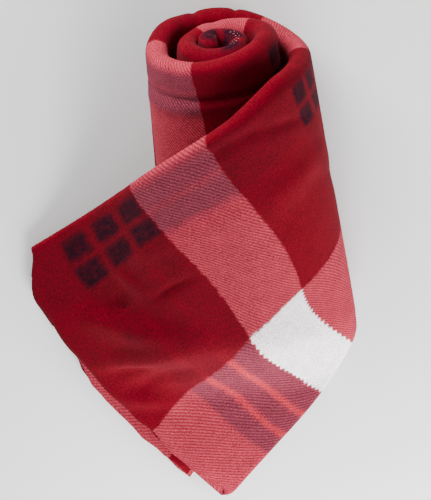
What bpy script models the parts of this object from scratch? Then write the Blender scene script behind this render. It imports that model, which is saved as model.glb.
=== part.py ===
"""Rolled throw blanket: the folded cloth as one strip, rolled up, its free end laid out as a flap.

Millimetres inside the tables, metres in the mesh. X runs across the roll, Y along it, Z up.
The strip is drawn flat first (length u from the hem, distance d from the folded long edge,
height h from its middle), then carried onto a profile curve that is the flap and the spiral.
"""

import math

import bmesh
import bpy
import numpy as np

MM = 0.001
STRIP_WIDTH = 381.0
STRIP_LENGTH = 1105.0
HEM_THICKNESS = 12.0
HEM_RUN = 330.0
RIM_THICKNESS = 25.0
EDGE_THICKNESS = 12.0
CORE_START = 760.0
CORE_RUN = 160.0
CORE_THINNING = 0.34
LEAF_GAP_ROLL = 1.4
LEAF_GAP_HEM = 2.6
END_ROUND = 3.0
LOWER_LEAF_OUTSET = 12.0
OUTSET_START = 90.0
OUTSET_RUN = 90.0
OUTSET_FADE = 70.0

ROLL_CENTRE_Z = 76.0
ROLL_RADIUS = 74.0
ROLL_SQUASH = 0.86
CREST_Z = 162.0
FLOOR_Z = 13.5
FAR_END_FLARE = 0.35
FAR_END_SAG = 0.42
OVERHANG_START = 375.0
OVERHANG_LENGTH = 120.0
PRESS = 0.4
PROBE = 1.5

# Where the roll's axis and its folded end stand from the middle of the footprint.
AXIS_X = 69.1
END_Y = 318.5

# Sections of the loft: where the roll begins and how far the last one stays from the strip's end.
WOUND_START = 440.0
CORE_END_GAP = 16.0
DEGREES_PER_STATION = 15.0
FLAP_STATIONS = 20
CLOTH_COLOUR = (0.36, 0.012, 0.022, 1.0)

# Spiral of the roll: turns wound in from the right side, and radius there.
WIND = np.array([
    (0.00, 74.0), (0.25, 74.5), (0.50, 73.0), (0.75, 58.0), (1.00, 43.0),
    (1.25, 42.0), (1.50, 42.0), (1.75, 31.0), (2.00, 19.0), (2.25, 13.5), (2.50, 8.5),
    (2.75, 4.0),
])

# Flap profile left of the crest: x, and height of the cloth's middle.
SLOPE = np.array([
    (0.0, 162.0), (-45.0, 149.0), (-86.0, 119.0), (-112.0, 84.0), (-140.0, 52.0),
    (-168.0, 30.0), (-194.0, 17.5), (-216.0, 13.5), (-330.0, 13.5),
])

# Rows of the strip: length u from the hem, then where five places across it lie,
# each as distance along the profile from the roll's right side and distance down the roll.
ACROSS = np.array([0.0, 0.16, 0.38, 0.633, 1.0])
ROWS = np.array([
    (0.0, 374.0, 277.0, 358.0, 349.0, 318.0, 438.0, 260.0, 519.0, 174.0, 621.0),
    (157.0, 250.0, 183.0, 210.0, 229.0, 170.0, 288.0, 135.0, 376.0, 80.0, 497.0),
    (250.0, 155.0, 114.0, 131.0, 170.0, 99.0, 252.0, 86.0, 321.0, 25.0, 423.0),
    (340.0, 66.0, 54.0, 58.0, 118.0, 34.0, 186.0, 9.0, 275.0, -45.0, 388.0),
    (440.0, -10.0, 48.0, -40.0, 100.0, -74.0, 168.0, -101.0, 246.0, -142.0, 382.0),
    (560.0, -122.0, 16.0, -140.0, 70.0, -153.0, 145.0, -165.0, 243.0, -195.0, 381.0),
    (720.0, -278.0, 36.0, -285.0, 84.0, -290.0, 157.0, -296.0, 245.0, -305.0, 381.0),
    (830.0, -386.0, 20.0, -390.0, 76.0, -394.0, 153.0, -398.0, 244.0, -404.0, 381.0),
    (920.0, -476.0, 22.0, -478.0, 77.0, -480.0, 154.0, -482.0, 245.0, -486.0, 381.0),
    (1000.0, -553.0, 30.0, -553.0, 83.0, -553.0, 157.0, -553.0, 247.0, -553.0, 381.0),
    (1105.0, -655.0, 29.0, -655.0, 82.0, -655.0, 156.0, -655.0, 246.0, -655.0, 381.0),
])

# Places across the strip: the upper leaf takes all of them, the lower leaf stops short.
STOPS = np.array([30.0, 58.0, 86.0, 116.0, 148.0, 180.0, 212.0, 244.0, 276.0, 306.0,
                  333.0, 356.0, STRIP_WIDTH - END_ROUND])
LOWER_STOPS = 11

# Soft folds on the flap: length u, distance d, half length, half width, turn in degrees, height.
FOLDS = (
    (60.0, 205.0, 95.0, 20.0, 62.0, 7.0),
    (105.0, 250.0, 90.0, 18.0, 66.0, 6.0),
    (330.0, 120.0, 150.0, 16.0, 14.0, 3.0),
)


def ease(t):
    """Smooth step from 0 to 1."""
    t = np.clip(t, 0.0, 1.0)
    return t * t * (3.0 - 2.0 * t)


def smooth_curve(x, knots, values):
    """Cubic through the knots with slopes that never overshoot (Fritsch-Carlson)."""
    step = np.diff(knots)
    rise = np.diff(values) / step
    slope = np.zeros(len(knots))
    same = rise[:-1] * rise[1:] > 0
    mean = 2.0 * rise[:-1] * rise[1:] / np.where(same, rise[:-1] + rise[1:], 1.0)
    slope[1:-1] = np.where(same, mean, 0.0)
    slope[0], slope[-1] = rise[0], rise[-1]
    i = np.clip(np.searchsorted(knots, x) - 1, 0, len(step) - 1)
    t = (x - knots[i]) / step[i]
    a, b = values[i], values[i + 1]
    m, n = slope[i] * step[i], slope[i + 1] * step[i]
    return a + t * (m + t * (3 * (b - a) - 2 * m - n + t * (2 * (a - b) + m + n)))


def profile_curve():
    """Profile samples (distance from the roll's right side, x, z): spiral, crest and slope."""
    turn = np.linspace(WIND[-1, 0], 0.0, 900)
    radius = smooth_curve(turn, WIND[:, 0], WIND[:, 1])
    angle = -2.0 * math.pi * turn
    inner = np.stack([radius * np.cos(angle),
                      ROLL_CENTRE_Z + ROLL_SQUASH * radius * np.sin(angle)], 1)
    angle = np.radians(np.linspace(0.0, 90.0, 60)[1:-1])
    crest = np.stack([ROLL_RADIUS * np.cos(angle),
                      ROLL_CENTRE_Z + (CREST_Z - ROLL_CENTRE_Z) * np.sin(angle)], 1)
    x = np.linspace(SLOPE[0, 0], SLOPE[-1, 0], 300)
    slope = np.stack([x, smooth_curve(-x, -SLOPE[:, 0], SLOPE[:, 1])], 1)
    points = np.concatenate([inner, crest, slope])
    points[:, 1] = np.maximum(points[:, 1], FLOOR_Z)
    run = np.concatenate([[0.0], np.cumsum(np.hypot(*np.diff(points, axis=0).T))])
    return run - run[len(inner) - 1], points[:, 0], points[:, 1]


PROFILE = profile_curve()


def thickness(u, d):
    """Full thickness of the strip: fat at the folded edge of the roll, thin at the hem."""
    rolled = RIM_THICKNESS + (EDGE_THICKNESS - RIM_THICKNESS) * d / STRIP_WIDTH
    core = 1.0 - CORE_THINNING * ease((u - CORE_START) / CORE_RUN)
    return (HEM_THICKNESS + (rolled - HEM_THICKNESS) * ease(u / HEM_RUN)) * core


def fold_height(u, d):
    """Sum of the soft folds: each a ridge h = A exp(-(along/L)^2 - (across/W)^2)."""
    total = np.zeros(np.broadcast(u, d).shape)
    for u0, d0, long, wide, turn, height in FOLDS:
        c, s = math.cos(math.radians(turn)), math.sin(math.radians(turn))
        along = c * (u - u0) + s * (d - d0)
        across = -s * (u - u0) + c * (d - d0)
        total += height * np.exp(-(along / long) ** 2 - (across / wide) ** 2)
    return total


def place(u, d):
    """Middle surface of the strip at length u and distance d, as an array of points."""
    v = d / STRIP_WIDTH
    run, down = np.zeros_like(u), np.zeros_like(u)
    for k in range(len(ACROSS)):
        others = [j for j in range(len(ACROSS)) if j != k]
        share = np.prod([(v - ACROSS[j]) / (ACROSS[k] - ACROSS[j]) for j in others], axis=0)
        run += share * smooth_curve(u, ROWS[:, 0], ROWS[:, 1 + 2 * k])
        down += share * smooth_curve(u, ROWS[:, 0], ROWS[:, 2 + 2 * k])
    x = np.interp(run, PROFILE[0], PROFILE[1])
    z = np.interp(run, PROFILE[0], PROFILE[2])
    far = np.clip(down / STRIP_WIDTH, 0.0, 1.0)
    x = x * (1.0 + FAR_END_FLARE * far)
    keep = (1.0 - FAR_END_SAG * far) * (1.0 - ease((down - OVERHANG_START) / OVERHANG_LENGTH))
    z = 0.5 * thickness(u, d) + (z - FLOOR_Z) * keep + fold_height(u, d)
    return np.stack([x, -down, z], -1)


def carry(u, d, h):
    """Flat point (u, d, h) carried onto the rolled strip: middle surface plus h times its normal."""
    along = place(u + PROBE, d) - place(u - PROBE, d)
    over = place(u, d + PROBE) - place(u, d - PROBE)
    normal = np.cross(over, along)
    normal /= np.linalg.norm(normal, axis=-1, keepdims=True)
    point = place(u, d) + h[..., None] * normal + (AXIS_X, END_Y, -PRESS)
    point[..., 2] = np.maximum(point[..., 2], 0.0)
    return point


def section(u):
    """One cross-section of the two leaves joined at the folded edge: outer path, inner path."""
    gap = LEAF_GAP_HEM + (LEAF_GAP_ROLL - LEAF_GAP_HEM) * float(ease(u / HEM_RUN))
    full = 0.5 * float(thickness(u, 0.0))
    bend = np.radians(np.linspace(90.0, 270.0, 9))
    outer = [(d, 0.5 * thickness(u, d)) for d in STOPS[::-1]]
    inner = [(d, 0.5 * gap) for d in STOPS[::-1]]
    outer += [(full + full * math.cos(a), full * math.sin(a)) for a in bend]
    inner += [(full + 0.5 * gap * math.cos(a), 0.5 * gap * math.sin(a)) for a in bend]
    outer += [(d, -0.5 * thickness(u, d)) for d in STOPS[:LOWER_STOPS]]
    inner += [(d, -0.5 * gap) for d in STOPS[:LOWER_STOPS]]
    return outer, inner


def ring(u):
    """Closed loop of flat points at station u: outer path, lower end, inner path back, upper end."""
    outer, inner = section(u)
    ends = [(o[0] + END_ROUND, 0.5 * (o[1] + i[1]))
            for o, i in ((outer[-1], inner[-1]), (outer[0], inner[0]))]
    flat = np.array(outer + [ends[0]] + inner[::-1] + [ends[1]])
    shift = -LOWER_LEAF_OUTSET * float(ease(1.0 - u / OUTSET_FADE))
    low = np.clip(-flat[:, 1] / (0.5 * HEM_THICKNESS), 0.0, 1.0)
    low *= ease((flat[:, 0] - OUTSET_START) / OUTSET_RUN)
    return u + shift * low, flat[:, 0], flat[:, 1]


def stations():
    """Lengths u of the sections: even along the flap, one every few degrees in the roll."""
    u = np.linspace(WOUND_START, STRIP_LENGTH - CORE_END_GAP, 2000)
    middle = np.full_like(u, 0.5 * STRIP_WIDTH)
    point = place(u, middle)
    flatter = 1.0 - 0.5 * FAR_END_SAG
    centre = 0.5 * thickness(u, middle) + (ROLL_CENTRE_Z - FLOOR_Z) * flatter
    angle = -np.unwrap(np.arctan2((point[:, 2] - centre) / (ROLL_SQUASH * flatter), point[:, 0]))
    count = int((angle[-1] - angle[0]) / math.radians(DEGREES_PER_STATION))
    wound = np.interp(np.linspace(angle[0], angle[-1], count), angle, u)
    return list(np.linspace(0.0, WOUND_START, FLAP_STATIONS)[:-1]) + list(wound)


def build_mesh(name):
    """Loft the rings along the strip and close both ends, hem and core."""
    rings = [carry(*ring(float(u))) * MM for u in stations()]
    size = len(rings[0])
    half = size // 2 - 1
    faces = []
    for k in range(len(rings) - 1):
        a, b = k * size, (k + 1) * size
        faces += [(a + i, a + (i + 1) % size, b + (i + 1) % size, b + i) for i in range(size)]
    last = (len(rings) - 1) * size
    for base, flip in ((0, True), (last, False)):
        for i in range(half - 1):
            quad = (base + i, base + size - 2 - i, base + size - 3 - i, base + i + 1)
            faces.append(quad if not flip else quad[::-1])
        for tri in ((base, base + size - 1, base + size - 2),
                    (base + half, base + half - 1, base + half + 1)):
            faces.append(tri if not flip else tri[::-1])
    mesh = bpy.data.meshes.new(name)
    mesh.from_pydata(np.concatenate(rings).tolist(), [], faces)
    return mesh


def tidy_mesh(mesh):
    """Outward faces, smooth shading."""
    work = bmesh.new()
    work.from_mesh(mesh)
    bmesh.ops.recalc_face_normals(work, faces=work.faces)
    bmesh.ops.triangulate(work, faces=work.faces)
    work.to_mesh(mesh)
    work.free()
    mesh.polygons.foreach_set("use_smooth", [True] * len(mesh.polygons))


def cloth_material():
    """Plain brushed fleece."""
    material = bpy.data.materials.new("fleece")
    material.use_nodes = True
    shader = material.node_tree.nodes["Principled BSDF"]
    shader.inputs["Base Color"].default_value = CLOTH_COLOUR
    shader.inputs["Roughness"].default_value = 0.95
    material.diffuse_color = CLOTH_COLOUR
    return material


def main():
    for old in list(bpy.data.objects):
        bpy.data.objects.remove(old, do_unlink=True)
    mesh = build_mesh("throw")
    tidy_mesh(mesh)
    mesh.materials.append(cloth_material())
    throw = bpy.data.objects.new("throw", mesh)
    bpy.context.scene.collection.objects.link(throw)


main()
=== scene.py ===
"""Rolled plaid throw blanket: one sheet of brushed fleece, folded in half twice, rolled, its end laid out.

The sheet is worked out flat first (length u from the hem, distance d from the folded long edge,
height h from the strip's middle) and then carried onto the roll's profile. Lengths are in
millimetres until the mesh is written, which is in metres.
"""

import math

import bpy
import numpy as np
from mathutils import Matrix, Vector


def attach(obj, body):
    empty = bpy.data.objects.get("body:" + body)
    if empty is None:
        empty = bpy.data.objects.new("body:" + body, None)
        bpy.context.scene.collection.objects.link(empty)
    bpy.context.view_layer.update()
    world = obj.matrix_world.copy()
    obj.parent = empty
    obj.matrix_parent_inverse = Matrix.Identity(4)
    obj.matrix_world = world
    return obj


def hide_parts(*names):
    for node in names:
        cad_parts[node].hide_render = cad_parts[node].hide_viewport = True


bl_info = {
    "name": "Rolled Plaid Throw",
    "version": (1, 0, 0),
    "blender": (4, 5, 0),
    "location": "View3D > Sidebar > Throw",
    "description": "Builds a rolled fleece throw with a plaid that runs through its folds",
    "category": "Add Mesh",
}

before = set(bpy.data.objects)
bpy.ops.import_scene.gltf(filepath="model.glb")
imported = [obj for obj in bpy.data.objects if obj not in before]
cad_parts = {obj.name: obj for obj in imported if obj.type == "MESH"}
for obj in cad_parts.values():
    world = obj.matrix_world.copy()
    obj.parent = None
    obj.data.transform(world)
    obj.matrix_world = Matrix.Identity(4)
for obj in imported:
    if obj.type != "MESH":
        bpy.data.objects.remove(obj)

MM = 0.001

# The flat cloth, and the strip of four plies that it is folded into.
STRIP_WIDTH = 381.0
STRIP_LENGTH = 1105.0
RAW_EDGE_INSET = 50.0
THIRD_PLY_INSET = 6.0
CORE_END_GAP = 16.0

# Thickness of the strip: at the hem, at the roll's folded edge and at its open edge, the length
# over which the hem's grows into the roll's, and the share that is lost in the core.
HEM_THICKNESS = 12.0
RIM_THICKNESS = 25.0
EDGE_THICKNESS = 12.0
HEM_RUN = 330.0
CORE_START = 760.0
CORE_RUN = 160.0
CORE_THINNING = 0.10

# Height of the inner two plies above the strip's middle, as a share of the outer two plies'.
INNER_LEVEL = 0.34

# The roll, lying on its side: heights, radius and squash, the open end's flare and sag, where
# the flap hangs past that end, how far the roll is pressed down, and where its axis and end lie.
ROLL_CENTRE_Z = 76.0
ROLL_RADIUS = 74.0
ROLL_SQUASH = 0.86
CREST_Z = 162.0
FLOOR_Z = 13.5
FAR_END_FLARE = 0.35
FAR_END_SAG = 0.42
OVERHANG_START = 375.0
OVERHANG_LENGTH = 120.0
PRESS = 0.4
AXIS_X = 69.1
END_Y = 318.5

# Spiral of the roll: turns wound in from the right side, and radius there. Then how far the
# core lies to the left, from which turn on, and over what part of a turn this comes in.
WIND = np.array([
    (0.00, 74.0), (0.25, 74.5), (0.50, 73.0), (0.75, 58.0), (1.00, 43.0),
    (1.25, 42.0), (1.50, 42.0), (1.75, 31.0), (2.00, 21.0), (2.25, 15.0), (2.50, 11.0),
    (2.75, 7.0), (3.00, 3.0),
])
CORE_ASIDE = 8.0
CORE_ASIDE_TURN = 1.6
CORE_ASIDE_RUN = 0.5

# Flap profile left of the crest: x, and height of the cloth's middle.
SLOPE = np.array([
    (0.0, 162.0), (-45.0, 149.0), (-86.0, 119.0), (-112.0, 84.0), (-140.0, 52.0),
    (-168.0, 30.0), (-194.0, 17.5), (-216.0, 13.5), (-330.0, 13.5),
])

# Samples of the profile on the spiral, the crest and the slope, and half the step over which
# the strip's normal is measured.
SPIRAL_STEPS = 900
CREST_STEPS = 60
SLOPE_STEPS = 300
PROBE = 1.5

# Rows of the strip: length u from the hem, then where five places across it lie,
# each as distance along the profile from the roll's right side and distance down the roll.
ACROSS = np.array([0.0, 0.16, 0.38, 0.633, 1.0])
ROWS = np.array([
    (0.0, 374.0, 277.0, 358.0, 349.0, 318.0, 438.0, 260.0, 519.0, 174.0, 621.0),
    (157.0, 250.0, 183.0, 210.0, 229.0, 170.0, 288.0, 135.0, 376.0, 80.0, 497.0),
    (250.0, 155.0, 114.0, 131.0, 170.0, 99.0, 252.0, 86.0, 321.0, 25.0, 423.0),
    (340.0, 66.0, 54.0, 58.0, 118.0, 34.0, 186.0, 9.0, 275.0, -45.0, 388.0),
    (440.0, -10.0, 48.0, -40.0, 100.0, -74.0, 168.0, -101.0, 246.0, -142.0, 382.0),
    (560.0, -122.0, 16.0, -140.0, 70.0, -153.0, 145.0, -165.0, 243.0, -195.0, 381.0),
    (720.0, -278.0, 36.0, -285.0, 84.0, -290.0, 157.0, -296.0, 245.0, -305.0, 381.0),
    (830.0, -386.0, 20.0, -390.0, 76.0, -394.0, 153.0, -398.0, 244.0, -404.0, 381.0),
    (920.0, -476.0, 22.0, -478.0, 77.0, -480.0, 154.0, -482.0, 245.0, -486.0, 381.0),
    (1000.0, -553.0, 30.0, -553.0, 83.0, -553.0, 157.0, -553.0, 247.0, -553.0, 381.0),
    (1105.0, -682.0, 29.0, -682.0, 82.0, -682.0, 156.0, -682.0, 246.0, -682.0, 381.0),
])

# Where the plaid lies along the strip: length u in the roll, length along the flat cloth.
# At the hem it runs askew near the folded edge, its bands bow, and it slips across the core.
WOVEN_LENGTH = np.array([
    (0.0, 0.0), (157.0, 157.0), (250.0, 247.0), (440.0, 450.0), (640.0, 705.0), (722.0, 805.0),
    (800.0, 902.0), (867.0, 994.0), (924.0, 1084.0), (1010.0, 1181.0), (1105.0, 1290.0),
])
HEM_SKEW = 39.0
HEM_SKEW_ACROSS = 220.0
HEM_SKEW_ALONG = 160.0
BAND_BOW = 13.0
CORE_SLIP = 34.0
CORE_SLIP_START = 960.0
CORE_SLIP_RUN = 50.0

# Soft folds on the flap: length u, distance d, half length, half width, turn in degrees, height.
FOLDS = (
    (60.0, 205.0, 95.0, 20.0, 62.0, 7.0),
    (105.0, 250.0, 90.0, 18.0, 66.0, 6.0),
    (330.0, 120.0, 150.0, 16.0, 14.0, 3.0),
)

# Finer creases of the sheet along its own normal: the same columns; troughs are below zero.
CREASES = (
    (74.0, 161.0, 58.0, 11.0, 50.0, 9.0),
    (61.0, 180.0, 60.0, 9.0, 37.0, 8.0),
    (34.0, 172.0, 34.0, 8.0, 48.0, -5.5),
    (22.0, 216.0, 45.0, 10.0, 62.0, 7.5),
    (62.0, 216.0, 42.0, 10.0, 30.0, -6.0),
    (46.0, 116.0, 30.0, 9.0, 48.0, 6.0),
    (88.0, 99.0, 28.0, 7.0, 70.0, 4.0),
    (121.0, 141.0, 25.0, 5.0, 5.0, -4.0),
    (66.0, 113.0, 14.0, 9.0, 40.0, -4.0),
    (152.0, 188.0, 60.0, 14.0, 97.0, -5.0),
    (120.0, 80.0, 34.0, 12.0, 20.0, 3.0),
    (255.0, 22.0, 45.0, 6.0, 3.0, -2.5),
    (318.0, 40.0, 38.0, 6.0, 27.0, -3.0),
    (300.0, 110.0, 90.0, 16.0, 35.0, 1.5),
    (360.0, 170.0, 80.0, 18.0, 40.0, -1.5),
    (190.0, 300.0, 40.0, 14.0, 100.0, 2.5),
    (210.0, 330.0, 40.0, 10.0, 60.0, -2.5),
    (730.0, 51.0, 62.0, 4.5, 3.0, -4.0),
    (690.0, 66.0, 40.0, 9.0, -6.0, 2.5),
    (965.0, 14.0, 26.0, 6.0, 40.0, -3.0),
    (1000.0, 20.0, 20.0, 6.0, 120.0, 2.5),
    (1035.0, 12.0, 24.0, 5.0, 60.0, -2.5),
    (1060.0, 22.0, 24.0, 6.0, 10.0, 2.5),
)

# Dents of the folded edge: length u, half width, depth.
RIM_DENTS = ((533.0, 3.5, 2.6), (578.0, 4.5, 2.6), (622.0, 26.0, -8.0), (672.0, 12.0, 1.5),
             (905.0, 6.0, 2.0), (935.0, 14.0, 3.0), (975.0, 12.0, -3.0), (1075.0, 40.0, -9.0))
RIM_DENT_REACH = 55.0

# How far each ply stands out at the hem, from which distance d on, and over what distance it
# comes in, in the order bottom, top, second and third ply.
PLY_OUTSET = np.array([(16.0, 90.0, 90.0), (0.0, 0.0, 1.0), (5.0, 285.0, 60.0), (14.0, 90.0, 90.0)])
OUTSET_FADE = 70.0

# The hem line: a bulge by the folded edge, a slight wave and its two spacings, and the worn
# round of its far corner with its reach across and along.
HEM_BULGE = 11.0
HEM_BULGE_AT = 44.0
HEM_BULGE_HALF = 34.0
HEM_WAVE = 1.1
HEM_WAVE_SPACINGS = (17.0, 9.3)
HEM_CORNER = 7.0
HEM_CORNER_ACROSS = 21.0
HEM_CORNER_ALONG = 10.5

# How the upper two plies lift off the lower two at the hem: height, reach along the strip,
# and the distances d over which the lift comes in and goes out again.
HEM_LIFT = 6.0
HEM_LIFT_REACH = 45.0
HEM_LIFT_IN = (90.0, 90.0)
HEM_LIFT_OUT = (384.0, 60.0)

# A notch in the hem of the top ply: distance d, half width, depth and reach along the strip.
NOTCH_AT = 352.0
NOTCH_HALF = 9.0
NOTCH_DEPTH = 4.5
NOTCH_REACH = 21.0

# Columns of the sheet's grid in each ply and fold, its rows along the strip, and the share of
# their spacing that grows from the hem to the core.
TOP_COLUMNS = 72
PLY_COLUMNS = 16
RIM_COLUMNS = 12
INNER_COLUMNS = 7
EDGE_COLUMNS = 5
SHEET_ROWS = 250
ROW_GROWTH = 0.15

# Zigzag stitches that show on the core: the stretch and their number, each stitch's size, the
# angle round the rim of one row and the step to the other, their slant, their lift off the
# cloth as a share of its thickness, and the steps of their surface.
STITCH_START = 1022.0
STITCH_STOP = 1050.0
STITCH_COUNT = 13
STITCH_LENGTH = 2.2
STITCH_RADIUS = 0.24
STITCH_ANGLE = -14.0
STITCH_STAGGER = 16.0
STITCH_SLANT = 0.7
STITCH_LIFT = 0.2
STITCH_TAPER = 0.98
STITCH_RINGS = 7
STITCH_SIDES = 8

# The plaid: repeat along the strip, where it starts, and the bands inside it, then the same
# across. Teeth step the edge of the white block, and ribs lean over the light bands.
ALONG_REPEAT = 279.0
ALONG_SHIFT = 63.0
ALONG_DARK = ((2.0, 25.0), (33.0, 56.0), (64.0, 92.0))
ALONG_WHITE = ((94.0, 184.0),)
ALONG_LINES = ((26.0, 32.0), (57.5, 63.0))
ACROSS_REPEAT = 604.0
ACROSS_SHIFT = 2.0
ACROSS_DARK = ((10.0, 34.0), (41.0, 67.0))
ACROSS_MERGED = ((4.0, 71.0),)
ACROSS_WHITE = ((239.0, 440.0),)
TOOTH_PITCH = 7.6
TOOTH_DEPTH = 1.8
RIB_PITCH = 3.5
RIB_LEAN = math.radians(54.5)

# How soft the plaid's edges are, in millimetres: dark stripes, merged stripes, lines, white.
DARK_ALONG_SOFT = 2.6
DARK_ACROSS_SOFT = 3.2
MERGED_SOFT = 5.0
LINE_SOFT = 1.6
WHITE_SOFT = 0.8

# How strongly the plaid's stripes show: two dark ones that cross, a dark one alone, merged and
# single dark stripes in a light band, thin lines.
CROSSED_DARK = 0.92
SINGLE_DARK = 0.16
MERGED_IN_LIGHT = 0.62
DARK_IN_LIGHT = 0.38
LINE_STRENGTH = 0.6

# Noises of the cloth, each as scale, detail and roughness, then its reach: two that move the
# plaid's edges, in millimetres, one that wears the dark stripes, one that speckles the ribs,
# and two of the nap, which darken and lighten the colour.
DRIFT, DRIFT_REACH = (120.0, 2.0, 0.5), 5.0
FUZZ, FUZZ_REACH = (1100.0, 1.0, 0.5), 4.0
WORN, WORN_REACH, WORN_LEAST = (160.0, 3.0, 0.6), 0.9, 0.35
SPECKLE, SPECKLE_REACH = (700.0, 2.0, 0.7), 1.6
BLOTCH, BLOTCH_REACH = (60.0, 4.0, 0.7), 0.7
FIBRE, FIBRE_REACH = (480.0, 3.0, 0.85), 2.8

# The relief: how far a rib swings its colour, the shares of fibre and rib in the height, and
# the bump's depth in metres and strength.
RIB_SWING = 0.34
FIBRE_RISE = 0.8
RIB_RISE = 0.35
NAP_DEPTH = 0.0010
NAP_STRENGTH = 0.6

# The stitches' thread and the floor: scale of their mottle.
THREAD_GRAIN = 1500.0
FLOOR_MOTTLE = 6.0

# The studio: lights with their places, sizes and powers, the light from all round, the floor.
LIGHTS = (
    ("right", (1.45, -0.55, 0.50), 0.7, 29.0),
    ("near", (0.22, -1.02, 0.55), 0.7, 36.0),
    ("far", (-0.55, 1.50, 0.42), 0.8, 56.0),
)
ROOM_LIGHT = 0.38
FLOOR_HALF = 6.0

# The camera: the picture's size, where it aims, in metres, and how it stands.
PICTURE_SIZE = (431, 500)
AIM = Vector((0.0289, 0.0350, 0.060))
CAMERA_DISTANCE = 4.5
CAMERA_ELEVATION = math.radians(65.0)
CAMERA_LEAN = math.radians(6.7)
MM_PER_PIXEL = 1.11
SENSOR = 36.0


def ease(t):
    """Smooth step from 0 to 1."""
    t = np.clip(t, 0.0, 1.0)
    return t * t * (3.0 - 2.0 * t)


def smooth_curve(x, knots, values):
    """Cubic through the knots with slopes that never overshoot (Fritsch-Carlson)."""
    step = np.diff(knots)
    rise = np.diff(values) / step
    slope = np.zeros(len(knots))
    same = rise[:-1] * rise[1:] > 0
    mean = 2.0 * rise[:-1] * rise[1:] / np.where(same, rise[:-1] + rise[1:], 1.0)
    slope[1:-1] = np.where(same, mean, 0.0)
    slope[0], slope[-1] = rise[0], rise[-1]
    i = np.clip(np.searchsorted(knots, x) - 1, 0, len(step) - 1)
    t = (x - knots[i]) / step[i]
    a, b = values[i], values[i + 1]
    m, n = slope[i] * step[i], slope[i + 1] * step[i]
    return a + t * (m + t * (3 * (b - a) - 2 * m - n + t * (2 * (a - b) + m + n)))


def profile_curve():
    """Profile samples (distance from the roll's right side, x, z): spiral, crest and slope."""
    turn = np.linspace(WIND[-1, 0], 0.0, SPIRAL_STEPS)
    radius = smooth_curve(turn, WIND[:, 0], WIND[:, 1])
    angle = -2.0 * math.pi * turn
    aside = CORE_ASIDE * ease((turn - CORE_ASIDE_TURN) / CORE_ASIDE_RUN)
    inner = np.stack([radius * np.cos(angle) - aside,
                      ROLL_CENTRE_Z + ROLL_SQUASH * radius * np.sin(angle)], 1)
    angle = np.radians(np.linspace(0.0, 90.0, CREST_STEPS)[1:-1])
    crest = np.stack([ROLL_RADIUS * np.cos(angle),
                      ROLL_CENTRE_Z + (CREST_Z - ROLL_CENTRE_Z) * np.sin(angle)], 1)
    x = np.linspace(SLOPE[0, 0], SLOPE[-1, 0], SLOPE_STEPS)
    slope = np.stack([x, smooth_curve(-x, -SLOPE[:, 0], SLOPE[:, 1])], 1)
    points = np.concatenate([inner, crest, slope])
    points[:, 1] = np.maximum(points[:, 1], FLOOR_Z)
    run = np.concatenate([[0.0], np.cumsum(np.hypot(*np.diff(points, axis=0).T))])
    return run - run[len(inner) - 1], points[:, 0], points[:, 1]


PROFILE = profile_curve()


def thickness(u, d):
    """Full thickness of the strip: fat at the folded edge of the roll, thin at the hem."""
    rolled = RIM_THICKNESS + (EDGE_THICKNESS - RIM_THICKNESS) * d / STRIP_WIDTH
    core = 1.0 - CORE_THINNING * ease((u - CORE_START) / CORE_RUN)
    return (HEM_THICKNESS + (rolled - HEM_THICKNESS) * ease(u / HEM_RUN)) * core


def fold_height(u, d, folds=FOLDS):
    """Sum of the soft folds: each a ridge h = A exp(-(along/L)^2 - (across/W)^2)."""
    total = np.zeros(np.broadcast(u, d).shape)
    for u0, d0, long, wide, turn, height in folds:
        c, s = math.cos(math.radians(turn)), math.sin(math.radians(turn))
        along = c * (u - u0) + s * (d - d0)
        across = -s * (u - u0) + c * (d - d0)
        total += height * np.exp(-(along / long) ** 2 - (across / wide) ** 2)
    return total


def place(u, d):
    """Middle surface of the strip, laid on the profile.

    Each column of the rows is a smooth curve along u. Across, one polynomial runs through the
    five places (Lagrange): the sum of each place's value times its share.
    """
    v = d / STRIP_WIDTH
    run, down = np.zeros_like(u), np.zeros_like(u)
    for k in range(len(ACROSS)):
        others = [j for j in range(len(ACROSS)) if j != k]
        share = np.prod([(v - ACROSS[j]) / (ACROSS[k] - ACROSS[j]) for j in others], axis=0)
        run += share * smooth_curve(u, ROWS[:, 0], ROWS[:, 1 + 2 * k])
        down += share * smooth_curve(u, ROWS[:, 0], ROWS[:, 2 + 2 * k])
    x = np.interp(run, PROFILE[0], PROFILE[1])
    z = np.interp(run, PROFILE[0], PROFILE[2])
    far = np.clip(down / STRIP_WIDTH, 0.0, 1.0)
    x = x * (1.0 + FAR_END_FLARE * far)
    keep = (1.0 - FAR_END_SAG * far) * (1.0 - ease((down - OVERHANG_START) / OVERHANG_LENGTH))
    z = 0.5 * thickness(u, d) + (z - FLOOR_Z) * keep + fold_height(u, d)
    return np.stack([x, -down, z], -1)


def carry(u, d, h):
    """Flat point (u, d, h) carried onto the rolled strip: middle surface plus h times its normal."""
    along = place(u + PROBE, d) - place(u - PROBE, d)
    over = place(u, d + PROBE) - place(u, d - PROBE)
    normal = np.cross(over, along)
    normal /= np.linalg.norm(normal, axis=-1, keepdims=True)
    return place(u, d) + h[..., None] * normal + (AXIS_X, END_Y, -PRESS)


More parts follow.
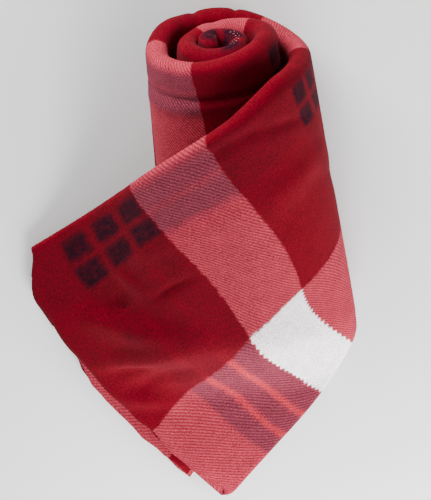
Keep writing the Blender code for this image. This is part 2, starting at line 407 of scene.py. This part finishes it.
def cloth_path(u, cloth):
    """Path of the cloth across the strip at lengths u, from raw edge to raw edge.

    Bottom ply towards the folded edge, half circle round it, top ply out to the far edge, tight
    half circle, second ply back, inner half circle, third ply out. Returns distance d, height h,
    the place q across the flat cloth, measured from the folded edge's top, and the ply's number.
    """
    full = 0.5 * thickness(u, np.zeros_like(u))
    end = STRIP_WIDTH - RAW_EDGE_INSET

    def level(d, ply):
        """Height of a ply above the strip's middle: 0 for the outer pair, 1 for the inner pair."""
        outer = 0.5 * thickness(u, d) - 0.5 * cloth
        return outer if ply == 0 else INNER_LEVEL * outer

    def arc(centre, radius, middle, start, stop, count):
        """Half circle of that radius round (centre, middle), between two angles."""
        angle = np.radians(np.linspace(start, stop, count + 1)[1:-1])
        d = centre + radius * np.cos(angle)[None, :]
        return d, middle + radius * np.sin(angle)[None, :]

    columns = []
    number = []

    def straight(start, stop, count, side, ply):
        """Ply from one distance to another, above or below the middle."""
        t = np.linspace(0.0, 1.0, count)[None, :]
        d = start + (stop - start) * t
        columns.append((d, side * level(d, ply)))
        number.append(np.full(count, len(number) // 2, float))

    def bend(centre, radius, middle, start, stop, count):
        """Fold that joins the ply before it to the next."""
        columns.append(arc(centre, radius, middle, start, stop, count))
        number.append(len(number) // 2 + np.linspace(0.0, 1.0, count + 1)[1:-1])

    zero = np.zeros_like(u)
    rim = level(zero + full, 0)
    inner = level(zero + full, 1)
    fold_radius = 0.5 * (level(zero + STRIP_WIDTH, 0) - level(zero + STRIP_WIDTH, 1))
    fold_middle = 0.5 * (level(zero + STRIP_WIDTH, 0) + level(zero + STRIP_WIDTH, 1))
    fold_at = STRIP_WIDTH - fold_radius - 0.5 * cloth
    straight(zero + end, full, PLY_COLUMNS, -1.0, 0)
    bend(full, rim, zero, 270.0, 90.0, RIM_COLUMNS)
    straight(full, fold_at, TOP_COLUMNS, 1.0, 0)
    bend(fold_at, fold_radius, fold_middle, 90.0, -90.0, EDGE_COLUMNS)
    straight(fold_at, full, PLY_COLUMNS, 1.0, 1)
    bend(full, inner, zero, 90.0, 270.0, INNER_COLUMNS)
    straight(full, zero + end - THIRD_PLY_INSET, PLY_COLUMNS, -1.0, 1)
    d = np.concatenate([c[0] + 0.0 * u for c in columns], 1)
    h = np.concatenate([c[1] + 0.0 * u for c in columns], 1)
    run = np.hypot(np.diff(d, axis=1), np.diff(h, axis=1))
    q = np.concatenate([np.zeros((len(u), 1)), np.cumsum(run, axis=1)], 1)
    first = PLY_COLUMNS + RIM_COLUMNS - 1
    return d, h, q - q[:, first:first + 1] + full, np.concatenate(number)[None, :]


def hem_shift(u, d, ply):
    """How far the cloth reaches past the hem line there: each ply's own outset, a notch, a wave."""
    near = ease(1.0 - u / OUTSET_FADE)
    stops = np.arange(len(PLY_OUTSET))
    outset, start, run = (np.interp(ply, stops, column) for column in PLY_OUTSET.T)
    reach = outset * ease((d - start) / run)
    notch = NOTCH_DEPTH * np.exp(-((d - NOTCH_AT) / NOTCH_HALF) ** 2) * (np.abs(ply - 1.0) < 0.5)
    long, short = HEM_WAVE_SPACINGS
    wave = HEM_WAVE * (np.sin(d / long + 2.0 * ply) + np.sin(d / short + 3.0 * ply))
    bulge = HEM_BULGE * np.exp(-((d - HEM_BULGE_AT) / HEM_BULGE_HALF) ** 2)
    return near * (reach + wave + bulge) - notch * ease(1.0 - u / NOTCH_REACH)


def hem_lift(u, d, ply):
    """Lift of the upper two plies at the hem: full there, none a short way along the strip."""
    upper = np.interp(ply, (0.0, 1.0, 2.0, 3.0), (0.0, 1.0, 1.0, 0.0))
    across = (ease((d - HEM_LIFT_IN[0]) / HEM_LIFT_IN[1])
              * ease((HEM_LIFT_OUT[0] - d) / HEM_LIFT_OUT[1]))
    return HEM_LIFT * upper * across * ease(1.0 - u / HEM_LIFT_REACH)


def sheet_grid(cloth):
    """Points, and plaid places, of the whole sheet as (rows, columns) arrays.

    The cloth's path at each length u, shifted at the hem, dented at the rim, raised by the
    creases and the hem's lift, then carried onto the roll. The plaid's place along is read from
    WOVEN_LENGTH, and across it is the path's own q.
    """
    u = np.linspace(0.0, 1.0, SHEET_ROWS)
    u = (STRIP_LENGTH - CORE_END_GAP) * ((1.0 - ROW_GROWTH) * u + ROW_GROWTH * u * u)
    u = u[:, None]
    d, h, q, ply = cloth_path(u, cloth)
    length = u - hem_shift(u, d, ply)
    corner = HEM_CORNER * ease((d - STRIP_WIDTH + HEM_CORNER_ACROSS) / HEM_CORNER_ACROSS)
    at = d - corner * np.clip(1.0 - u / HEM_CORNER_ALONG, 0.0, 1.0) ** 2
    for spot, half, depth in RIM_DENTS:
        at = at + depth * np.exp(-((length - spot) / half) ** 2) * ease(1.0 - d / RIM_DENT_REACH)
    height = h + fold_height(length, d, CREASES) + hem_lift(u, d, ply)
    point = carry(length, at, height)
    point[..., 2] = np.maximum(point[..., 2], 0.5 * cloth)
    woven = smooth_curve(length, WOVEN_LENGTH[:, 0], WOVEN_LENGTH[:, 1])
    woven = woven + HEM_SKEW * ease(1.0 - d / HEM_SKEW_ACROSS) * ease(1.0 - length / HEM_SKEW_ALONG)
    part_way = np.sqrt(np.clip(length / HEM_SKEW_ALONG, 0.0, 1.0))
    q = q + CORE_SLIP * ease((length - CORE_SLIP_START) / CORE_SLIP_RUN)
    q = q - 4.0 * BAND_BOW * part_way * (1.0 - part_way) * ease(d / HEM_SKEW_ACROSS)
    return point, np.stack([woven, q], -1)


def grid_mesh(name, point, flat):
    """Mesh of quads over a (rows, columns) grid of points, with the flat places as its UV map."""
    rows, columns = point.shape[:2]
    index = np.arange(rows * columns).reshape(rows, columns)
    quads = np.stack([index[:-1, :-1], index[1:, :-1], index[1:, 1:], index[:-1, 1:]], -1)
    quads = quads.reshape(-1, 4)
    mesh = bpy.data.meshes.new(name)
    mesh.from_pydata((point.reshape(-1, 3) * MM).tolist(), [], quads.tolist())
    layer = mesh.uv_layers.new(name="cloth")
    place_of = (flat.reshape(-1, 2) * MM)[quads.reshape(-1)]
    layer.data.foreach_set("uv", place_of.astype(np.float32).reshape(-1))
    mesh.polygons.foreach_set("use_smooth", [True] * len(mesh.polygons))
    return mesh


def add_piece(name, mesh, material):
    """Puts a mesh in the scene as a piece that rides with the part and stands for its throw."""
    piece = bpy.data.objects.new(name, mesh)
    bpy.context.scene.collection.objects.link(piece)
    mesh.materials.append(material)
    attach(piece, "root")
    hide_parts("throw")
    return piece


def stitch_mesh(name, centre, along, up):
    """Thread stitches: at each centre a short rod along its direction.

    Its radius is R sqrt(1 - c t^2), with t from -1 to 1 along it and c just under 1, so that
    the ends are small closed discs.
    """
    t = np.linspace(-1.0, 1.0, STITCH_RINGS)
    turn = np.linspace(0.0, 2.0 * math.pi, STITCH_SIDES, endpoint=False)
    radius = STITCH_RADIUS * np.sqrt(1.0 - STITCH_TAPER * t * t)
    side = np.cross(along, up)
    ring = np.cos(turn)[:, None, None] * side + np.sin(turn)[:, None, None] * up
    point = (centre + 0.5 * STITCH_LENGTH * t[:, None, None, None] * along
             + radius[:, None, None, None] * ring)
    rings, sides, count = STITCH_RINGS, STITCH_SIDES, len(centre)
    index = np.arange(rings * sides * count).reshape(rings, sides, count)
    after = np.roll(index, -1, axis=1)
    quads = np.stack([index[:-1], index[1:], after[1:], after[:-1]], -1).reshape(-1, 4).tolist()
    caps = [index[0, :, k].tolist() for k in range(count)]
    caps += [index[-1, ::-1, k].tolist() for k in range(count)]
    mesh = bpy.data.meshes.new(name)
    mesh.from_pydata((point.reshape(-1, 3) * MM).tolist(), [], quads + caps)
    mesh.polygons.foreach_set("use_smooth", [True] * len(mesh.polygons))
    return mesh


def core_stitches(cloth):
    """Places of the zigzag stitches on the folded edge of the core: centre, direction and normal."""
    u = np.linspace(STITCH_START, STITCH_STOP, STITCH_COUNT)
    odd = np.arange(STITCH_COUNT) % 2
    full = 0.5 * thickness(u, np.zeros_like(u))
    angle = np.radians(STITCH_ANGLE + STITCH_STAGGER * odd)

    def on_rim(shift):
        """Points on the half circle of the folded edge, dented as the cloth is there."""
        dent = sum(depth * np.exp(-((u + shift - spot) / half) ** 2)
                   for spot, half, depth in RIM_DENTS)
        d = full - full * np.cos(angle)
        flat_d, flat_h = d + dent, full * np.sin(angle)
        return carry(u + shift, flat_d, flat_h + fold_height(u + shift, d, CREASES))

    centre = on_rim(0.0)
    along = on_rim(1.0) - on_rim(-1.0)
    middle = carry(u, full, np.zeros_like(u))
    up = centre - middle
    up /= np.linalg.norm(up, axis=-1, keepdims=True)
    along += (STITCH_SLANT * (1.0 - 2.0 * odd))[:, None] * np.cross(up, along)
    along -= (along * up).sum(-1, keepdims=True) * up
    along /= np.linalg.norm(along, axis=-1, keepdims=True)
    return centre + STITCH_LIFT * cloth * up, along, up


class Nodes:
    """Short ways to add and join shader nodes in one tree."""

    def __init__(self, tree):
        self.tree = tree

    def add(self, kind, **values):
        """New node of that kind with those values set."""
        node = self.tree.nodes.new(kind)
        for key, value in values.items():
            setattr(node, key, value)
        return node

    def join(self, source, target):
        """Links a socket to the target, or sets a plain number or colour on it."""
        if isinstance(source, (int, float, tuple)):
            target.default_value = source
        else:
            self.tree.links.new(source, target)

    def math(self, operation, a, b=0.0, c=None, clamp=False):
        """Result of a math node on two or three values."""
        node = self.add("ShaderNodeMath", operation=operation, use_clamp=clamp)
        self.join(a, node.inputs[0])
        self.join(b, node.inputs[1])
        if c is not None:
            self.join(c, node.inputs[2])
        return node.outputs[0]

    def mix(self, factor, a, b, blend="MIX"):
        """Colour between a and b, by the factor."""
        node = self.add("ShaderNodeMix", data_type="RGBA", blend_type=blend)
        self.join(factor, node.inputs[0])
        self.join(a, node.inputs[6])
        self.join(b, node.inputs[7])
        return node.outputs[2]

    def centred(self, value, reach):
        """Noise about 0: reach times the value's distance from one half."""
        return self.math("MULTIPLY", self.math("SUBTRACT", value, 0.5), reach)

    def noise(self, vector, scale, detail=2.0, roughness=0.5):
        """Soft noise from 0 to 1."""
        node = self.add("ShaderNodeTexNoise")
        self.join(vector, node.inputs["Vector"])
        node.inputs["Scale"].default_value = scale
        node.inputs["Detail"].default_value = detail
        node.inputs["Roughness"].default_value = roughness
        return node.outputs["Fac"]

    def stripes(self, place_mm, period, bands, soft):
        """Mask that is 1 inside each (start, stop) band of a repeating stripe, in millimetres."""
        ramp = self.add("ShaderNodeValToRGB")
        share = self.math("FRACT", self.math("DIVIDE", place_mm, period))
        self.join(share, ramp.inputs[0])
        points = ramp.color_ramp.elements
        while len(points) > 1:
            points.remove(points[-1])
        points[0].position = 0.0
        points[0].color = (0, 0, 0, 1)
        for start, stop in bands:
            for at, level in ((start - soft, 0), (start + soft, 1), (stop - soft, 1), (stop + soft, 0)):
                spot = points.new(min(max(at / period, 0.0), 1.0))
                spot.color = (level, level, level, 1)
        return ramp.outputs[0]


def plaid_colour(kit, settings):
    """Plaid of brushed fleece: stripes both ways, mixed where they cross, ribs in the light bands.

    Returns the cloth's flat place, the colour, the mask of the single light bands and the ribs.
    """
    uv = kit.add("ShaderNodeUVMap", uv_map="cloth").outputs[0]
    split = kit.add("ShaderNodeSeparateXYZ")
    kit.join(uv, split.inputs[0])
    wobble = kit.math("ADD", kit.centred(kit.noise(uv, *DRIFT), DRIFT_REACH),
                      kit.centred(kit.noise(uv, *FUZZ), FUZZ_REACH))
    along = kit.math("MULTIPLY_ADD", split.outputs[0], 1.0 / MM, wobble)
    across = kit.math("MULTIPLY_ADD", split.outputs[1], 1.0 / MM, wobble)
    along_at = kit.math("SUBTRACT", along, ALONG_SHIFT)
    across_at = kit.math("ADD", kit.math("SUBTRACT", across, ACROSS_SHIFT), ACROSS_REPEAT)
    dark_along = kit.stripes(along_at, ALONG_REPEAT, ALONG_DARK, DARK_ALONG_SOFT)
    dark_across = kit.stripes(across_at, ACROSS_REPEAT, ACROSS_DARK, DARK_ACROSS_SOFT)
    merged_across = kit.stripes(across_at, ACROSS_REPEAT, ACROSS_MERGED, MERGED_SOFT)
    white_across = kit.stripes(across_at, ACROSS_REPEAT, ACROSS_WHITE, WHITE_SOFT)
    tooth = kit.math("PINGPONG", split.outputs[1], 0.5 * TOOTH_PITCH * MM)
    tooth = kit.math("SUBTRACT", kit.math("DIVIDE", tooth, 0.25 * TOOTH_PITCH * MM), 1.0)
    tooth = kit.math("MULTIPLY", kit.math("MULTIPLY", tooth, TOOTH_DEPTH), white_across)
    white_along = kit.stripes(kit.math("ADD", along_at, tooth), ALONG_REPEAT, ALONG_WHITE, WHITE_SOFT)
    line_along = kit.stripes(along_at, ALONG_REPEAT, ALONG_LINES, LINE_SOFT)

    worn = kit.math("MULTIPLY_ADD", kit.noise(uv, *WORN), WORN_REACH, WORN_LEAST, clamp=True)
    both_dark = kit.math("MULTIPLY", kit.math("MULTIPLY", dark_along, dark_across), worn)
    one_dark = kit.math("MULTIPLY", kit.math("MAXIMUM", dark_along, merged_across), worn)
    dark = kit.math("MULTIPLY_ADD", both_dark, CROSSED_DARK, kit.math("MULTIPLY", one_dark, SINGLE_DARK))
    field = kit.mix(dark, tuple(settings.red), tuple(settings.dark))

    rib_run = kit.math("SUBTRACT", kit.math("MULTIPLY", along, math.sin(RIB_LEAN)),
                       kit.math("MULTIPLY", across, math.cos(RIB_LEAN)))
    rib = kit.math("SINE", kit.math("MULTIPLY", rib_run, 2.0 * math.pi / RIB_PITCH))
    speckle = kit.centred(kit.noise(uv, *SPECKLE), SPECKLE_REACH)
    rib = kit.math("ADD", kit.math("MULTIPLY_ADD", rib, RIB_SWING, 0.5), speckle, clamp=True)
    pink = kit.mix(rib, tuple(settings.pink_low), tuple(settings.pink))
    mauve = kit.mix(rib, tuple(settings.mauve_low), tuple(settings.mauve))
    both_light = kit.math("MULTIPLY", white_along, white_across)
    light_one = kit.math("SUBTRACT", kit.math("MAXIMUM", white_along, white_across), both_light)
    across_mix = kit.math("MULTIPLY_ADD", merged_across, MERGED_IN_LIGHT,
                          kit.math("MULTIPLY", dark_across, DARK_IN_LIGHT))
    shaded = kit.math("MAXIMUM", kit.math("MULTIPLY", dark_along, white_across),
                      kit.math("MULTIPLY", across_mix, white_along))
    lines = kit.math("MULTIPLY", kit.math("MULTIPLY", white_across, line_along), LINE_STRENGTH)
    banded = kit.mix(lines, kit.mix(shaded, pink, mauve), tuple(settings.line))
    colour = kit.mix(light_one, field, banded)
    colour = kit.mix(both_light, colour, tuple(settings.white))
    return uv, colour, light_one, rib


def fleece_material(settings):
    """Brushed fleece: the plaid, blotchy nap in its colour, fine nap and ribs in its bump, sheen."""
    material = bpy.data.materials.new("plaid fleece")
    material.use_nodes = True
    kit = Nodes(material.node_tree)
    shader = material.node_tree.nodes["Principled BSDF"]
    place_at, colour, light_one, rib = plaid_colour(kit, settings)
    blotch = kit.noise(place_at, *BLOTCH)
    fibre = kit.noise(place_at, *FIBRE)
    shade = kit.math("ADD", kit.centred(blotch, BLOTCH_REACH), kit.centred(fibre, FIBRE_REACH))
    shade = kit.math("ADD", shade, 1.0)
    grey = kit.add("ShaderNodeCombineColor")
    for socket in grey.inputs[:3]:
        kit.join(shade, socket)
    kit.join(kit.mix(1.0, colour, grey.outputs[0], "MULTIPLY"), shader.inputs["Base Color"])
    height = kit.math("ADD", kit.math("MULTIPLY", fibre, FIBRE_RISE),
                      kit.math("MULTIPLY", kit.math("MULTIPLY", rib, light_one), RIB_RISE))
    bump = kit.add("ShaderNodeBump")
    bump.inputs["Distance"].default_value = NAP_DEPTH
    bump.inputs["Strength"].default_value = NAP_STRENGTH
    kit.join(height, bump.inputs["Height"])
    kit.join(bump.outputs[0], shader.inputs["Normal"])
    shader.inputs["Roughness"].default_value = 0.95
    shader.inputs["Specular IOR Level"].default_value = 0.05
    shader.inputs["Sheen Weight"].default_value = 0.03
    shader.inputs["Sheen Roughness"].default_value = 0.5
    shader.inputs["Sheen Tint"].default_value = (1.0, 0.5, 0.56, 1.0)
    return material


def thread_material(settings):
    """Pale pink sewing thread with a fine mottle."""
    material = bpy.data.materials.new("thread")
    material.use_nodes = True
    kit = Nodes(material.node_tree)
    shader = material.node_tree.nodes["Principled BSDF"]
    at = kit.add("ShaderNodeTexCoord").outputs["Object"]
    paler = kit.math("MULTIPLY", kit.noise(at, THREAD_GRAIN), 0.5)
    kit.join(kit.mix(paler, tuple(settings.pink), tuple(settings.white)), shader.inputs["Base Color"])
    shader.inputs["Roughness"].default_value = 0.7
    return material


def floor_material():
    """Plain pale studio floor with a faint mottle."""
    material = bpy.data.materials.new("studio floor")
    material.use_nodes = True
    kit = Nodes(material.node_tree)
    shader = material.node_tree.nodes["Principled BSDF"]
    at = kit.add("ShaderNodeTexCoord").outputs["Object"]
    kit.join(kit.mix(kit.noise(at, FLOOR_MOTTLE), (0.86, 0.86, 0.86, 1), (0.9, 0.9, 0.9, 1)),
             shader.inputs["Base Color"])
    shader.inputs["Roughness"].default_value = 0.8
    return material


class ThrowSettings(bpy.types.PropertyGroup):
    """The cloth's thickness and the plaid's colours"""
    cloth: bpy.props.FloatProperty(
        name="Cloth thickness", description="Thickness of one ply of fleece",
        default=0.0026, min=0.001, max=0.004, unit="LENGTH", subtype="DISTANCE")
    red: bpy.props.FloatVectorProperty(
        name="Red", description="Colour of the field", size=4, subtype="COLOR",
        default=(0.118, 0.0006, 0.0062, 1.0), min=0.0, max=1.0)
    dark: bpy.props.FloatVectorProperty(
        name="Dark", description="Colour where two dark stripes cross", size=4, subtype="COLOR",
        default=(0.010, 0.0014, 0.0060, 1.0), min=0.0, max=1.0)
    pink: bpy.props.FloatVectorProperty(
        name="Pink", description="Ribs of a light band over red", size=4, subtype="COLOR",
        default=(0.40, 0.044, 0.070, 1.0), min=0.0, max=1.0)
    pink_low: bpy.props.FloatVectorProperty(
        name="Pink between ribs", description="Between the ribs of a light band over red", size=4,
        subtype="COLOR", default=(0.18, 0.006, 0.015, 1.0), min=0.0, max=1.0)
    mauve: bpy.props.FloatVectorProperty(
        name="Mauve", description="Ribs of a light band over a dark stripe", size=4, subtype="COLOR",
        default=(0.22, 0.038, 0.060, 1.0), min=0.0, max=1.0)
    mauve_low: bpy.props.FloatVectorProperty(
        name="Mauve between ribs", description="Between the ribs of a light band over a dark stripe",
        size=4, subtype="COLOR", default=(0.090, 0.008, 0.018, 1.0), min=0.0, max=1.0)
    line: bpy.props.FloatVectorProperty(
        name="Line", description="Thin bright lines between the dark stripes", size=4, subtype="COLOR",
        default=(0.40, 0.022, 0.034, 1.0), min=0.0, max=1.0)
    white: bpy.props.FloatVectorProperty(
        name="White", description="Where two light bands cross", size=4, subtype="COLOR",
        default=(0.82, 0.75, 0.77, 1.0), min=0.0, max=1.0)


class THROW_OT_cloth(bpy.types.Operator):
    """Builds the folded and rolled sheet of fleece"""
    bl_idname = "throw.cloth"
    bl_label = "Rolled cloth"

    def execute(self, context):
        settings = context.scene.throw_settings
        point, flat = sheet_grid(settings.cloth / MM)
        mesh = grid_mesh("rolled_cloth", point, flat)
        piece = add_piece("rolled_cloth", mesh, fleece_material(settings))
        wall = piece.modifiers.new("thickness", "SOLIDIFY")
        wall.thickness = settings.cloth
        wall.offset = 0.0
        return {"FINISHED"}


class THROW_OT_stitches(bpy.types.Operator):
    """Adds the zigzag stitches on the core of the roll"""
    bl_idname = "throw.stitches"
    bl_label = "Core stitches"

    def execute(self, context):
        settings = context.scene.throw_settings
        mesh = stitch_mesh("core_stitches", *core_stitches(settings.cloth / MM))
        add_piece("core_stitches", mesh, thread_material(settings))
        return {"FINISHED"}


def add_light(name, location, size, power):
    """Square soft light that looks at the throw."""
    light = bpy.data.lights.new(name, "AREA")
    light.shape = "SQUARE"
    light.size = size
    light.energy = power
    lamp = bpy.data.objects.new(name, light)
    lamp.location = location
    lamp.rotation_euler = (AIM - Vector(location)).to_track_quat("-Z", "Y").to_euler()
    bpy.context.scene.collection.objects.link(lamp)


def add_camera():
    """Camera above the folded end's side, turned so that the folded end is at the picture's top."""
    table_up = Vector((math.sin(CAMERA_LEAN), math.cos(CAMERA_LEAN), 0.0))
    right = Vector((math.cos(CAMERA_LEAN), -math.sin(CAMERA_LEAN), 0.0))
    back = table_up * math.cos(CAMERA_ELEVATION) + Vector((0, 0, math.sin(CAMERA_ELEVATION)))
    up = back.cross(right)
    camera = bpy.data.cameras.new("camera")
    camera.sensor_width = SENSOR
    camera.lens = SENSOR * (CAMERA_DISTANCE / (MM_PER_PIXEL * MM)) / PICTURE_SIZE[1]
    holder = bpy.data.objects.new("camera", camera)
    turn = Matrix((right, up, back)).transposed()
    holder.matrix_world = Matrix.Translation(AIM + back * CAMERA_DISTANCE) @ turn.to_4x4()
    bpy.context.scene.collection.objects.link(holder)
    bpy.context.scene.camera = holder


class THROW_OT_stage(bpy.types.Operator):
    """Adds the pale floor, the soft lights and the camera"""
    bl_idname = "throw.stage"
    bl_label = "Studio"

    def execute(self, context):
        mesh = bpy.data.meshes.new("studio_floor")
        half = FLOOR_HALF
        corners = [(-half, -half, 0), (half, -half, 0), (half, half, 0), (-half, half, 0)]
        mesh.from_pydata(corners, [], [(0, 1, 2, 3)])
        mesh.materials.append(floor_material())
        floor = bpy.data.objects.new("studio_floor", mesh)
        context.scene.collection.objects.link(floor)
        for light in LIGHTS:
            add_light(*light)
        world = bpy.data.worlds.new("studio")
        world.use_nodes = True
        background = world.node_tree.nodes["Background"]
        background.inputs["Color"].default_value = (1.0, 1.0, 1.0, 1.0)
        background.inputs["Strength"].default_value = ROOM_LIGHT
        context.scene.world = world
        add_camera()
        return {"FINISHED"}


class THROW_PT_panel(bpy.types.Panel):
    """The throw's sizes, colours and steps"""
    bl_label = "Rolled throw"
    bl_idname = "THROW_PT_panel"
    bl_space_type = "VIEW_3D"
    bl_region_type = "UI"
    bl_category = "Throw"

    def draw(self, context):
        for name in ThrowSettings.__annotations__:
            self.layout.prop(context.scene.throw_settings, name)
        for step in STEPS:
            self.layout.operator(step.bl_idname)


STEPS = (THROW_OT_cloth, THROW_OT_stitches, THROW_OT_stage)
CLASSES = (ThrowSettings,) + STEPS + (THROW_PT_panel,)


def register():
    """Registers the classes and the scene's settings."""
    for item in CLASSES:
        bpy.utils.register_class(item)
    bpy.types.Scene.throw_settings = bpy.props.PointerProperty(type=ThrowSettings)


def unregister():
    """Takes the settings and the classes away again."""
    del bpy.types.Scene.throw_settings
    for item in reversed(CLASSES):
        bpy.utils.unregister_class(item)


def main():
    """Builds the throw and its studio."""
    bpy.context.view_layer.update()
    register()
    bpy.ops.throw.cloth()
    bpy.ops.throw.stitches()
    bpy.ops.throw.stage()
    bpy.context.view_layer.update()


if __name__ == "__main__":
    main()
